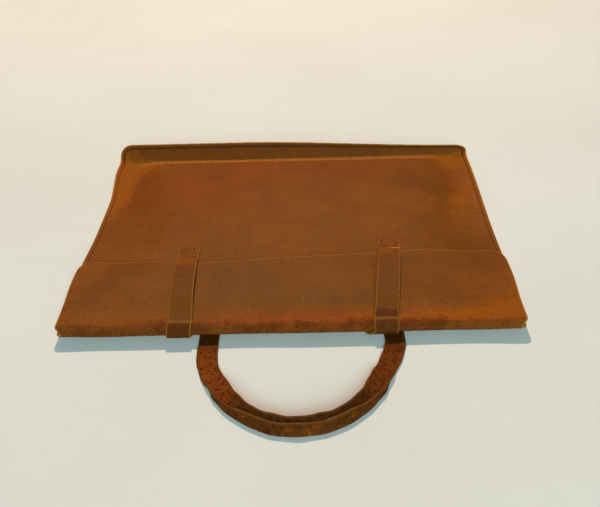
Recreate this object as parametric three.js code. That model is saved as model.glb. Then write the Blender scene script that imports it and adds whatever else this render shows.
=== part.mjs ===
import * as THREE from "three";

// An old leather document case lying on its back, flap closed and carry handle laid out in front.
// Millimetres. X runs left to right, Y from the handle to the far sewn edge, Z up from the table.
// While it is built, Y is 0 at the outermost line of the near fold; the last lines centre the whole.

// case
const caseWidth = 400;
const caseDepth = 303;
const rimHeight = 24;
const rimRadius = 16;
const rimAngle = 68 * Math.PI / 180;
const cornerRadius = 10;
const sideCurl = 12;
const backLeather = 2.6;
const frontLeather = 2.2;
const flapLeather = 2.6;
const pocketHeight = 5.9;
const seamMargin = 11;
const bulgeRun = 34;
const liftFlat = 34;
const liftEnd = 104;

// clearances between neighbouring pieces
const seamGap = 0.3;
const flapGap = 0.4;
const strapGap = 0.3;
const hingeGap = 0.4;
const threadGap = 0.6;

// flap
const flapDepth = 92;
const flapSkew = 0.055;
const flapCorner = 12;

// straps, each a band over the flap with a stitched patch beyond the flap's edge
const strapWidth = 18;
const strapLeather = 2;
const strapBow = 4;
const patchDepth = 18;
const patchLeather = 2;
const patchGap = 7;
const straps = [
  { side: "left", tipX: -95, rootX: -91 },
  { side: "right", tipX: 92, rootX: 77.5 },
];

// handle, a strip that lies flat at its legs and tilts up on its outer edge round the bow,
// where a second strip is folded up against its outside
const handleCentreX = 9.5;
const handleSpan = 155;
const handleReach = 95;
const handleLegLength = 12;
const bowPower = 1.25;
const handleLeather = 2.4;
const bowWidth = 15;
const bowTilt = 52 * Math.PI / 180;
const wrapHeight = 15;
const wrapFoot = 6;
const wrapLeather = 2.2;
const wrapGap = 0.4;
const tabWidth = 16;
const tabLeather = 2;
const tabLength = 46;
const handleAxisY = -9;
const rootRadius = tabLeather / 2;

// thread
const threadWidth = 0.7;
const stitchInset = 3.5;

// heights worked out from the sizes above
const nearLift = tabLeather + strapGap + strapLeather + strapGap;
const frontLevel = nearLift + backLeather + pocketHeight;
const flapBottom = frontLevel + frontLeather + flapGap;
const flapTop = flapBottom + flapLeather;
const foldY = (flapTop - nearLift) / 2;
const layerStep = (backLeather + frontLeather) / 2 + seamGap;

const leather = (r, g, b, roughness) =>
  new THREE.MeshStandardMaterial({ color: new THREE.Color(r, g, b), roughness });

const clamp = (v) => Math.min(1, Math.max(0, v));
const smooth = (a, b, v) => {
  const t = clamp((v - a) / (b - a));
  return t * t * (3 - 2 * t);
};

const group = new THREE.Group();
group.name = "document_case";

// Faces are given all one way round; they are turned over here if that way is inward.
function addMesh(name, positions, faces, material) {
  const point = (i) => new THREE.Vector3(...positions[i]);
  const volume = faces.reduce((sum, [a, b, c]) => sum + point(a).dot(point(b).cross(point(c))), 0);
  if (volume < 0) {
    faces.forEach((face) => face.reverse());
  }
  const geometry = new THREE.BufferGeometry();
  geometry.setAttribute("position", new THREE.Float32BufferAttribute(positions.flat(), 3));
  geometry.setIndex(faces.flat());
  geometry.computeVertexNormals();
  const mesh = new THREE.Mesh(geometry, material);
  mesh.name = name;
  group.add(mesh);
}

// A closed sheet between an upper and a lower grid of points, rows by columns.
function addSheet(name, upper, lower, material) {
  const rows = upper.length;
  const cols = upper[0].length;
  const count = rows * cols;
  const up = (r, c) => r * cols + c;
  const low = (r, c) => count + r * cols + c;
  const faces = [];
  for (let r = 0; r < rows - 1; r++) {
    for (let c = 0; c < cols - 1; c++) {
      faces.push([up(r, c), up(r, c + 1), up(r + 1, c + 1)], [up(r, c), up(r + 1, c + 1), up(r + 1, c)]);
      faces.push([low(r, c), low(r + 1, c + 1), low(r, c + 1)], [low(r, c), low(r + 1, c), low(r + 1, c + 1)]);
    }
  }
  const wall = (r0, c0, r1, c1) => {
    faces.push([up(r0, c0), low(r0, c0), low(r1, c1)], [up(r0, c0), low(r1, c1), up(r1, c1)]);
  };
  for (let c = 0; c < cols - 1; c++) {
    wall(0, c, 0, c + 1);
    wall(rows - 1, c + 1, rows - 1, c);
  }
  for (let r = 0; r < rows - 1; r++) {
    wall(r + 1, 0, r, 0);
    wall(r, cols - 1, r + 1, cols - 1);
  }
  addMesh(name, [...upper.flat(), ...lower.flat()], faces, material);
}

// A closed body through rings of equally many points. Open runs get flat caps.
function addLoft(name, rings, flatRing, material, closed = false) {
  const n = flatRing.length;
  const faces = [];
  const last = closed ? rings.length : rings.length - 1;
  for (let k = 0; k < last; k++) {
    const a = k * n;
    const b = ((k + 1) % rings.length) * n;
    for (let i = 0; i < n; i++) {
      const j = (i + 1) % n;
      faces.push([a + i, a + j, b + j], [a + i, b + j, b + i]);
    }
  }
  if (!closed) {
    const end = (rings.length - 1) * n;
    const outline = flatRing.map(([u, v]) => new THREE.Vector2(u, v));
    const clockwise = THREE.ShapeUtils.isClockWise(outline);
    for (const cap of THREE.ShapeUtils.triangulateShape(outline, [])) {
      const [p, q, r] = clockwise ? [...cap].reverse() : cap;
      faces.push([p, r, q], [end + p, end + q, end + r]);
    }
  }
  addMesh(name, rings.flat(), faces, material);
}

// Middle of the back leather along the case: level, lifted at the near end over the strap
// tails and handle tabs, curled up at the far edge. It returns y, z and the way up from it.
const rimRun = rimRadius * rimAngle;
const rimRise = rimRadius * (1 - Math.cos(rimAngle));
const rimStraight = (rimHeight - backLeather / 2 - rimRise) / Math.sin(rimAngle);
const creaseY = caseDepth - rimRadius * Math.sin(rimAngle) - rimStraight * Math.cos(rimAngle);
const creaseS = creaseY - foldY;
const totalS = creaseS + rimRun + rimStraight;

function profile(s) {
  const base = backLeather / 2;
  if (s <= creaseS) {
    const y = foldY + s;
    return { y, z: base + nearLift * (1 - smooth(liftFlat, liftEnd, s)), ny: 0, nz: 1 };
  }
  const angle = Math.min((s - creaseS) / rimRadius, rimAngle);
  const straight = Math.max(0, s - creaseS - rimRun);
  return {
    y: creaseY + rimRadius * Math.sin(angle) + straight * Math.cos(angle),
    z: base + rimRadius * (1 - Math.cos(angle)) + straight * Math.sin(angle),
    ny: -Math.sin(angle),
    nz: Math.cos(angle),
  };
}

// A point on the case, d above the middle of the back leather, with the sides' own curl.
function surface(x, s, d) {
  const p = profile(s);
  const edge = clamp((Math.abs(x) - caseWidth / 2 + 26) / 26);
  const curl = sideCurl * edge * edge * smooth(195, creaseS, s) * smooth(totalS, creaseS, s);
  return [x, p.y + d * p.ny, p.z + d * p.nz + curl];
}

// How full the pocket stands at a place: nothing at the three sewn margins, full at the mouth.
function fullness(x, s) {
  const across = smooth(seamMargin, seamMargin + bulgeRun, caseWidth / 2 - Math.abs(x));
  const along = smooth(creaseS - 4, creaseS - 50, s);
  return across * along;
}

// Height of the front leather's middle above the back's, level over the full part.
function frontStep(x, s) {
  const p = profile(s);
  const full = frontLevel + frontLeather / 2 - p.z;
  return layerStep + (full - layerStep) * fullness(x, s);
}

// The flap lies on the front leather and a little higher over the stitched side margins.
function flapStep(x, s) {
  const overSeam = (threadGap + threadWidth) * smooth(30, 12, caseWidth / 2 - Math.abs(x));
  return frontStep(x, s) + (frontLeather + flapLeather) / 2 + flapGap + overSeam;
}

// Columns across the case, closer together over the margins, scaled to a row's half width.
const marginSteps = [0, 6, 12, 19, 27, 36, 45];
const columnsX = [
  ...marginSteps.map((m) => m - caseWidth / 2),
  -110, -60, 0, 60, 110,
  ...marginSteps.map((m) => caseWidth / 2 - m).reverse(),
];
const halfWidth = (s, end, radius) => {
  const into = clamp((s - (end - radius)) / radius);
  return caseWidth / 2 - radius * (1 - Math.sqrt(Math.max(0, 1 - into * into)));
};
const squeeze = (x, half) => {
  const inner = caseWidth / 2 - 45;
  if (Math.abs(x) <= inner) {
    return x;
  }
  return Math.sign(x) * (inner + (Math.abs(x) - inner) * (half - inner) / 45);
};

function grid(rowsS, step, offset, end, radius) {
  return rowsS.map((s) => {
    const half = halfWidth(s, end, radius);
    return columnsX.map((x) => surface(squeeze(x, half), s, step(squeeze(x, half), s) + offset));
  });
}

// rows along the case up to its rounded far corners
const rimRows = [0, 0.25, 0.5, 0.75, 1].map((k) => creaseS + rimRun * k);
const cornerRows = [0.45, 0.75, 0.92, 1].map((k) => totalS - cornerRadius * (1 - k));
const bodyRows = [0, 14, liftFlat, 50, 69, 88, liftEnd, 150, 190, 222, creaseS - 50, creaseS - 38, creaseS - 27,
  creaseS - 16, creaseS - 5];
const backRows = [...bodyRows, ...rimRows.filter((s) => s < cornerRows[0] - 2), ...cornerRows];
const frontRows = [6, ...backRows.slice(1)];

const brown = leather(0.36, 0.17, 0.07, 0.55);
const darkBrown = leather(0.22, 0.1, 0.05, 0.6);
const strapBrown = leather(0.3, 0.14, 0.06, 0.55);
const threadBrown = leather(0.12, 0.06, 0.03, 0.8);

addSheet(
  "back_panel",
  grid(backRows, () => 0, backLeather / 2, totalS, cornerRadius),
  grid(backRows, () => 0, -backLeather / 2, totalS, cornerRadius),
  brown,
);
addSheet(
  "front_panel",
  grid(frontRows, frontStep, frontLeather / 2, totalS, cornerRadius),
  grid(frontRows, frontStep, -frontLeather / 2, totalS, cornerRadius),
  brown.clone(),
);

// The flap runs from the top of the fold to its cut edge, which stands a little askew.
const flapEnd = (x) => flapDepth - foldY + flapSkew * x;
const flapRows = [0, 0.1, 0.24, 0.4, 0.56, 0.72, 0.86, 0.93, 0.97, 1];
function flapGrid(offset) {
  return flapRows.map((k) => {
    return columnsX.map((x) => {
      const into = clamp((k * flapDepth - (flapDepth - flapCorner)) / flapCorner);
      const half = caseWidth / 2 - flapCorner * (1 - Math.sqrt(Math.max(0, 1 - into * into)));
      const at = squeeze(x, half);
      const s = k * flapEnd(at);
      return surface(at, s, flapStep(at, s) + offset);
    });
  });
}
addSheet("flap", flapGrid(flapLeather / 2), flapGrid(-flapLeather / 2), brown.clone());

// The soft fold joins back panel and flap round the near edge.
function foldRing(x) {
  const bottom = profile(0).z - backLeather / 2;
  const top = profile(0).z + flapStep(x, 0) + flapLeather / 2;
  const middle = (bottom + top) / 2;
  const outer = (top - bottom) / 2;
  const inner = outer - backLeather;
  const arc = [];
  for (let i = 0; i <= 8; i++) {
    arc.push(Math.PI / 2 + Math.PI * i / 8);
  }
  const at = (radius, angle) => [foldY - hingeGap + radius * Math.cos(angle), middle + radius * Math.sin(angle)];
  return [...arc.map((a) => at(outer, a)), ...arc.reverse().map((a) => at(inner, a))];
}
const foldColumns = columnsX.map((x) => squeeze(x, caseWidth / 2 - 1));
addLoft(
  "flap_fold",
  foldColumns.map((x) => foldRing(x).map(([y, z]) => [x, y, z])),
  foldRing(0),
  brown.clone(),
);

// A square thread through a run of points laid on a surface whose way up is given.
function addThread(name, points, ups, closed) {
  const half = threadWidth / 2;
  const n = points.length;
  const rings = points.map((p, i) => {
    const before = closed || i > 0 ? points[(i + n - 1) % n] : p;
    const after = closed || i < n - 1 ? points[(i + 1) % n] : p;
    const along = new THREE.Vector3(...after).sub(new THREE.Vector3(...before)).normalize();
    const up = new THREE.Vector3(...ups[i]);
    const side = new THREE.Vector3().crossVectors(up, along).normalize();
    up.crossVectors(along, side);
    return [[-1, -1], [-1, 1], [1, 1], [1, -1]].map(([a, b]) => new THREE.Vector3(...p)
      .addScaledVector(side, a * half)
      .addScaledVector(up, b * half)
      .toArray());
  });
  addLoft(name, rings, [[-1, -1], [-1, 1], [1, 1], [1, -1]], threadBrown.clone(), closed);
}

// Edge stitching, one run round the three sewn sides on the front leather.
const seamPoints = [];
const seamUps = [];
function seamAt(x, s) {
  const lift = frontStep(x, s) + frontLeather / 2 + threadGap + threadWidth / 2;
  const p = profile(s);
  seamPoints.push(surface(x, s, lift));
  seamUps.push([0, p.ny, p.nz]);
}
const seamStart = 12;
const seamFar = totalS - stitchInset;
const seamSide = caseWidth / 2 - stitchInset;
const seamCorner = cornerRadius - stitchInset;
const seamRows = backRows.filter((s) => s > seamStart && s < seamFar - seamCorner - 1);
for (const s of [seamStart, ...seamRows]) {
  seamAt(-seamSide, s);
}
for (const a of [0, 30, 60, 90]) {
  const turn = a * Math.PI / 180;
  seamAt(-seamSide + seamCorner * (1 - Math.cos(turn)), seamFar - seamCorner * (1 - Math.sin(turn)));
}
for (const x of [-155, -110, -60, 0, 60, 110, 155]) {
  seamAt(x, seamFar);
}
for (const a of [90, 60, 30, 0]) {
  const turn = a * Math.PI / 180;
  seamAt(seamSide - seamCorner * (1 - Math.cos(turn)), seamFar - seamCorner * (1 - Math.sin(turn)));
}
for (const s of [seamStart, ...seamRows].reverse()) {
  seamAt(seamSide, s);
}
addThread("seam_thread", seamPoints, seamUps, false);

// Patches, their stitching, the bands over the flap and the tails round the near edge.
const foldMiddle = (nearLift + flapTop) / 2;
for (const { side, tipX, rootX } of straps) {
  const edgeY = flapDepth + flapSkew * tipX;
  const patchY = edgeY + patchGap;
  const patchBottom = frontLevel + frontLeather + seamGap;
  const halfStrap = strapWidth / 2;
  const box = (y, z0, z1) => [[z0, -1], [z0, 1], [z1, 1], [z1, -1]].map(([z, k]) => [tipX + k * halfStrap, y, z]);
  const boxRing = [[0, -1], [0, 1], [1, 1], [1, -1]];
  addLoft(
    `patch_${side}`,
    [patchY, patchY + patchDepth].map((y) => box(y, patchBottom, patchBottom + patchLeather)),
    boxRing,
    strapBrown.clone(),
  );
  const threadZ = patchBottom + patchLeather + seamGap + threadWidth / 2;
  const reachX = halfStrap - stitchInset + 1;
  const corners = [
    [tipX - reachX, patchY + 2.5], [tipX + reachX, patchY + 2.5],
    [tipX + reachX, patchY + patchDepth - 2.5], [tipX - reachX, patchY + patchDepth - 2.5],
  ];
  addThread(
    `patch_thread_${side}`,
    corners.map(([x, y]) => [x, y, threadZ]),
    corners.map(() => [0, 0, 1]),
    true,
  );

  // the band, from its root over the fold to its tip just short of the patch
  const half = strapLeather / 2;
  const rest = flapTop + strapGap + half;
  const tipY = patchY - strapGap - 0.2;
  const run = tipY - foldY;
  const centre = (k) => {
    const y = foldY + run * k;
    const bow = strapBow * Math.sin(Math.PI * clamp(k / 0.92)) ** 1.3;
    const drop = (flapTop - patchBottom - 0.3) * smooth(edgeY + 0.6, tipY, y);
    return [y, rest + bow - drop];
  };
  const bandStops = [0.02, 0.08, 0.18, 0.32, 0.47, 0.62, 0.76, 0.86, 0.91, 0.945, 0.97, 1];
  const across = (k) => rootX + (tipX - rootX) * k;
  const bandRings = bandStops.map((k) => {
    const [y, z] = centre(k);
    const thin = k < 0.03 ? half * 0.45 : half;
    return [[-1, -1], [-1, 1], [1, 1], [1, -1]].map(([v, u]) => [across(k) + u * halfStrap, y, z + v * thin]);
  });
  addLoft(`strap_${side}`, bandRings, boxRing, strapBrown.clone());

  // the tail, from the band's root round the near edge to a short length under the back panel
  const inner = foldMiddle - nearLift + strapGap;
  const tailPath = [];
  for (let i = 0; i <= 8; i++) {
    const angle = Math.PI / 2 + Math.PI * i / 8;
    tailPath.push([angle, 0]);
  }
  tailPath.push([Math.PI * 1.5, 10], [Math.PI * 1.5, 24]);
  const tailRings = tailPath.map(([angle, extra]) => {
    const at = (radius) => [
      foldY - hingeGap + radius * Math.cos(angle) + extra,
      foldMiddle + radius * Math.sin(angle),
    ];
    const low = at(inner);
    const high = at(inner + strapLeather);
    return [[low, -1], [low, 1], [high, 1], [high, -1]].map(([p, u]) => [rootX - u * halfStrap, p[0], p[1]]);
  });
  addLoft(`strap_tail_${side}`, tailRings, boxRing, strapBrown.clone());
}

// Handle path from the left leg's root to the right one. Turn is 0 where the strip lies flat
// and 1 where it stands tilted round the bow.
const halfSpan = handleSpan / 2;
const bowDepth = handleReach + handleAxisY - handleLegLength;
const rootPath = [[-1, 0.4], [2, 1], [8, handleLeather / 2], [14, handleLeather / 2]];
const legPath = (side) => rootPath.map(([away, half]) => (
  { x: side * halfSpan, y: handleAxisY - away, turn: 0, half }
));
const bowPath = [];
for (let i = 0; i <= 20; i++) {
  const angle = Math.PI * i / 20;
  bowPath.push({
    x: -halfSpan * Math.sign(Math.cos(angle)) * Math.abs(Math.cos(angle)) ** bowPower,
    y: handleAxisY - handleLegLength - bowDepth * Math.sin(angle) ** bowPower,
    turn: smooth(0.06, 0.3, i / 20) * smooth(0.94, 0.7, i / 20),
    half: handleLeather / 2,
  });
}
const handlePath = [...legPath(-1), ...bowPath, ...legPath(1).reverse()];
handlePath.forEach((point, i) => {
  const a = handlePath[Math.max(0, i - 1)];
  const b = handlePath[Math.min(handlePath.length - 1, i + 1)];
  const along = new THREE.Vector3(b.x - a.x, b.y - a.y, 0).normalize();
  point.out = new THREE.Vector3(along.y, -along.x, 0);
});

// One ring at a path point, from corners given as distance outward and height.
const handleRing = (p, corners) => corners.map(([out, up]) => [
  handleCentreX + p.x + p.out.x * out, p.y + p.out.y * out, up,
]);

// The strip's section, tilted by its turn, with its outer edge on the table or on the wrap's foot.
function stripCorners(p) {
  const tilt = bowTilt * p.turn;
  const across = (tabWidth + (bowWidth - tabWidth) * p.turn) / 2;
  const turned = [[-across, -p.half], [across, -p.half], [across, p.half], [-across, p.half]].map(([u, v]) => [
    u * Math.cos(tilt) + v * Math.sin(tilt), v * Math.cos(tilt) - u * Math.sin(tilt),
  ]);
  const low = Math.min(...turned.map(([, up]) => up));
  const rest = (wrapLeather + wrapGap) * smooth(0.02, 0.2, p.turn);
  const lift = Math.max(rootRadius, -low) + rest;
  return turned.map(([out, up]) => [out, up + lift]);
}
function wrapCorners(p) {
  const inner = Math.max(...stripCorners(p).map(([out]) => out)) + wrapGap;
  const outer = inner + wrapLeather;
  const height = wrapLeather * 2 + (wrapHeight - wrapLeather * 2) * smooth(0.25, 1, p.turn);
  return [
    [inner - wrapFoot, 0], [outer, 0], [outer, height],
    [inner, height], [inner, wrapLeather], [inner - wrapFoot, wrapLeather],
  ];
}
const stripRings = handlePath.map((p) => handleRing(p, stripCorners(p)));
addLoft("handle_strap", stripRings, stripCorners(handlePath[8]), darkBrown);
const wrapPath = handlePath.filter((p) => p.turn > 0.25);
const wrapRings = wrapPath.map((p) => handleRing(p, wrapCorners(p)));
addLoft("handle_wrap", wrapRings, wrapCorners(wrapPath[4]), darkBrown.clone());

// Tabs that hold the handle's legs to the outside of the back panel, and their stitching,
// which shows on the panel's inside.
const insideZ = nearLift + backLeather + seamGap + threadWidth / 2;
const tabStart = handleAxisY + rootRadius + hingeGap;
const tabEnd = tabStart + tabLength;
for (const [side, axisX] of [["left", handleCentreX - halfSpan], ["right", handleCentreX + halfSpan]]) {
  const ring = (y, k) => [[-1, 0], [1, 0], [1, 1], [-1, 1]].map(([u, v]) => [
    axisX + u * k * tabWidth / 2, y, v * tabLeather,
  ]);
  addLoft(
    `handle_tab_${side}`,
    [ring(tabStart, 1), ring(tabEnd - 5, 1), ring(tabEnd, 0.6)],
    [[-1, 0], [1, 0], [1, 1], [-1, 1]],
    darkBrown.clone(),
  );
  const reachX = tabWidth / 2 - stitchInset;
  const corners = [
    [axisX - reachX, foldY + 13], [axisX + reachX, foldY + 13],
    [axisX + reachX, tabEnd - 7], [axisX - reachX, tabEnd - 7],
  ];
  addThread(
    `tab_thread_${side}`,
    corners.map(([x, y]) => [x, y, insideZ]),
    corners.map(() => [0, 0, 1]),
    true,
  );
}

// centre the whole in X and Y
const bounds = new THREE.Box3().setFromObject(group);
const middle = bounds.getCenter(new THREE.Vector3());
for (const mesh of group.children) {
  mesh.geometry.translate(-middle.x, -middle.y, -bounds.min.z);
}

export default group;
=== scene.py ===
import math

import bpy
import numpy as np
from mathutils import Matrix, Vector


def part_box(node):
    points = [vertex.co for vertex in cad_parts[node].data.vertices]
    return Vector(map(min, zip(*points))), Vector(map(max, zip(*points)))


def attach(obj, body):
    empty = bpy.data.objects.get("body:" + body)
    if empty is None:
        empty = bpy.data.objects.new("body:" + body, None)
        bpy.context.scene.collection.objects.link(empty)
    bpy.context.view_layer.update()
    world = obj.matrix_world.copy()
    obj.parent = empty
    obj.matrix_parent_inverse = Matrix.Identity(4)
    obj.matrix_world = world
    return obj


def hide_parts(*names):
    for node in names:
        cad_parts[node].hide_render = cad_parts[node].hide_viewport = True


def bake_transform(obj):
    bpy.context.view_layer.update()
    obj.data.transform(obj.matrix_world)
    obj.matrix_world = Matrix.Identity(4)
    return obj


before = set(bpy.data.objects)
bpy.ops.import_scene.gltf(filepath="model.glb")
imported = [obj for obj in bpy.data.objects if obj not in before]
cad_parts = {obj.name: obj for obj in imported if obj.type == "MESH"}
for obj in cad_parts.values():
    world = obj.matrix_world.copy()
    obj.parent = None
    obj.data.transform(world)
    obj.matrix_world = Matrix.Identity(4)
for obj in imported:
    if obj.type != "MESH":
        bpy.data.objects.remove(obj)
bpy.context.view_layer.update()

print("frame loaded")

# Everything is worked out in millimetres, with y counted from the outermost line of the
# near fold, and turned into metres in the frame only when a mesh is made.
mm = 0.001


def nodeBox(node):
    low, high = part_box(node)
    return [v / mm for v in low], [v / mm for v in high]


nearLine = nodeBox("flap_fold")[0][1] + 0.4


def toFrame(points):
    moved = np.array(points, float)
    moved[..., 1] += nearLine
    return moved * mm


def smooth(a, b, v):
    t = np.clip((v - a) / (b - a), 0, 1)
    return t * t * (3 - 2 * t)


def unit(v):
    return v / np.maximum(np.linalg.norm(v, axis=-1, keepdims=True), 1e-9)


def leatherTone(r, g, b):
    # a tone given on a 0 to 255 scale, as linear colour under this scene's warm light
    return [(v / 255) ** 2.2 * k for v, k in zip((r, g, b), (0.98, 0.93, 0.66))]


def makeObject(name, verts, faces, marks, material):
    mesh = bpy.data.meshes.new(name)
    mesh.from_pydata(toFrame(verts).tolist(), [], faces)
    for mark, values in marks.items():
        values = np.asarray(values, np.float32)
        if values.ndim == 1:
            mesh.attributes.new(mark, "FLOAT", "POINT").data.foreach_set("value", values)
        else:
            field = mesh.attributes.new(mark, "FLOAT_VECTOR", "POINT")
            field.data.foreach_set("vector", values.ravel())
    mesh.shade_smooth()
    mesh.materials.append(material)
    mesh.update()
    obj = bpy.data.objects.new(name, mesh)
    bpy.context.scene.collection.objects.link(obj)
    return obj


def closedSheet(name, middle, thick, marks, material, drop=None, bulge=0.42, steps=4, flesh=(0, 1)):
    # A sheet of leather with rounded cut edges, from the grid of points at its middle.
    # drop sinks the top into a groove, and flesh says how far each side shows its flesh.
    rows, cols = middle.shape[:2]
    up = unit(np.cross(np.gradient(middle, axis=1), np.gradient(middle, axis=0)))
    half = np.full((rows, cols), thick / 2)
    sunk = np.zeros((rows, cols)) if drop is None else drop
    top = middle + up * (half - sunk)[..., None]
    bottom = middle - up * half[..., None]
    ring = [(0, c) for c in range(cols)]
    ring += [(r, cols - 1) for r in range(1, rows)]
    ring += [(rows - 1, c) for c in range(cols - 2, -1, -1)]
    ring += [(r, 0) for r in range(rows - 2, 0, -1)]
    ringR, ringC = np.array(ring).T
    rim, rimUp = middle[ringR, ringC], up[ringR, ringC]
    out = unit(np.cross(np.roll(rim, -1, 0) - np.roll(rim, 1, 0), rimUp))
    count, n = rows * cols, len(ring)
    layers = [top.reshape(-1, 3), bottom.reshape(-1, 3)]
    for k in range(1, steps):
        a = math.pi / 2 - math.pi * k / steps
        layers.append(rim + out * thick * bulge * math.cos(a) + rimUp * thick / 2 * math.sin(a))
    ids = np.arange(count).reshape(rows, cols)
    quads = np.stack([ids[:-1, :-1], ids[:-1, 1:], ids[1:, 1:], ids[1:, :-1]], -1).reshape(-1, 4)
    faces = quads.tolist() + (quads[:, ::-1] + count).tolist()
    loops = [ids[ringR, ringC]]
    loops += [2 * count + (k - 1) * n + np.arange(n) for k in range(1, steps)]
    loops.append(ids[ringR, ringC] + count)
    for upper, lower in zip(loops, loops[1:]):
        faces += np.stack([upper, lower, np.roll(lower, -1), np.roll(upper, -1)], -1).tolist()
    full = {}
    for mark, values in marks.items():
        values = np.broadcast_to(values, (rows, cols) + np.shape(values)[2:])
        flat = values.reshape(count, -1)
        edge = values[ringR, ringC].reshape(n, -1)
        full[mark] = np.concatenate([flat, flat] + [edge] * (steps - 1)).squeeze()
    cut = np.zeros((rows, cols))
    cut[ringR, ringC] = 0.8
    full["cutEdge"] = np.concatenate([cut.ravel(), cut.ravel() * 0.5, np.ones(n * (steps - 1))])
    full["fleshSide"] = np.repeat([flesh[0], flesh[1], 0.0], [count, count, n * (steps - 1)])
    return makeObject(name, np.concatenate(layers), faces, full, material)


stitchShape = {
    "long": 2.9, "wide": 0.95, "high": 0.62, "bend": 0.12, "blunt": 0.6,
    "rings": 5, "sides": 8,
}


def stitchRun(name, points, ups, pitch, material, closed=False, look=stitchShape):
    # Separate stitches, each a short bent capsule half sunk in the leather, along a run of points.
    points, ups = np.array(points, float), np.array(ups, float)
    if closed:
        points, ups = np.vstack([points, points[:1]]), np.vstack([ups, ups[:1]])
    lengths = np.concatenate([[0], np.cumsum(np.linalg.norm(np.diff(points, axis=0), axis=1))])
    number = max(1, round(lengths[-1] / pitch))
    at = (np.arange(number) + 0.5) * lengths[-1] / number
    sample = lambda v, d: np.stack([np.interp(d, lengths, v[:, i]) for i in range(3)], -1)
    centre, up = sample(points, at), unit(sample(ups, at))
    along = unit(sample(points, at + 0.5) - sample(points, at - 0.5))
    side = unit(np.cross(up, along))
    unitVerts = [(-1, 0, 0)]
    for i in range(1, look["rings"] + 1):
        a = math.pi * i / (look["rings"] + 1)
        for j in range(look["sides"]):
            b = 2 * math.pi * j / look["sides"]
            r = math.sin(a) ** look["blunt"]
            unitVerts.append((-math.cos(a), r * math.cos(b), r * math.sin(b)))
    unitVerts.append((1, 0, 0))
    shape = np.array(unitVerts) * [look["long"] / 2, look["wide"] / 2, look["high"] / 2]
    shape[:, 2] -= look["bend"] * (shape[:, 0] / look["long"] * 2) ** 2
    last, sides = len(shape) - 1, look["sides"]
    unitFaces = [[0, 1 + (j + 1) % sides, 1 + j] for j in range(sides)]
    for i in range(look["rings"] - 1):
        a, b = 1 + i * sides, 1 + (i + 1) * sides
        unitFaces += [[a + j, a + (j + 1) % sides, b + (j + 1) % sides, b + j] for j in range(sides)]
    a = last - sides
    unitFaces += [[last, a + j, a + (j + 1) % sides] for j in range(sides)]
    verts, faces = [], []
    for i in range(number):
        body = centre[i] + shape[:, :1] * along[i] + shape[:, 1:2] * side[i] + shape[:, 2:] * up[i]
        faces += [[v + i * len(shape) for v in face] for face in unitFaces]
        verts.append(body)
    verts = np.concatenate(verts)
    return makeObject(name, verts, faces, {"place": verts * mm}, material)


class Bench:
    # a short way to lay out a material's nodes
    def __init__(self, name):
        self.material = bpy.data.materials.new(name)
        self.material.use_nodes = True
        self.tree = self.material.node_tree
        self.shader = self.tree.nodes["Principled BSDF"]

    def put(self, kind, settings=None, **sockets):
        node = self.tree.nodes.new("ShaderNode" + kind)
        for key, value in (settings or {}).items():
            setattr(node, key, value)
        for key, value in sockets.items():
            self.set(node.inputs[key.replace("_", " ")], value)
        return node

    def set(self, socket, value):
        if isinstance(value, bpy.types.NodeSocket):
            self.tree.links.new(value, socket)
        else:
            socket.default_value = value

    def mark(self, name, output="Fac"):
        return self.put("Attribute", {"attribute_name": name}).outputs[output]

    def noise(self, place, scale, detail=4.0, roughness=0.6, distortion=0.0):
        node = self.put("TexNoise", Vector=place, Scale=scale, Detail=detail,
                        Roughness=roughness, Distortion=distortion)
        return node.outputs["Fac"]

    def math(self, operation, a, b=0.0, c=0.0, clamp=False):
        node = self.put("Math", {"operation": operation, "use_clamp": clamp})
        for socket, value in zip(node.inputs, (a, b, c)):
            self.set(socket, value)
        return node.outputs[0]

    def ramp(self, value, low, high, toLow=0.0, toHigh=1.0, kind="SMOOTHSTEP"):
        node = self.put("MapRange", {"interpolation_type": kind}, Value=value)
        for index, v in enumerate((low, high, toLow, toHigh), 1):
            node.inputs[index].default_value = v
        return node.outputs[0]

    def mix(self, factor, a, b, blend="MIX"):
        node = self.put("Mix", {"data_type": "RGBA", "blend_type": blend, "clamp_factor": True})
        self.set(node.inputs[0], factor)
        for socket, value in zip((node.inputs[6], node.inputs[7]), (a, b)):
            self.set(socket, value if isinstance(value, bpy.types.NodeSocket) else (*value, 1.0))
        return node.outputs[2]

    def grey(self, value):
        return self.put("CombineColor", Red=value, Green=value, Blue=value).outputs[0]


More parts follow.
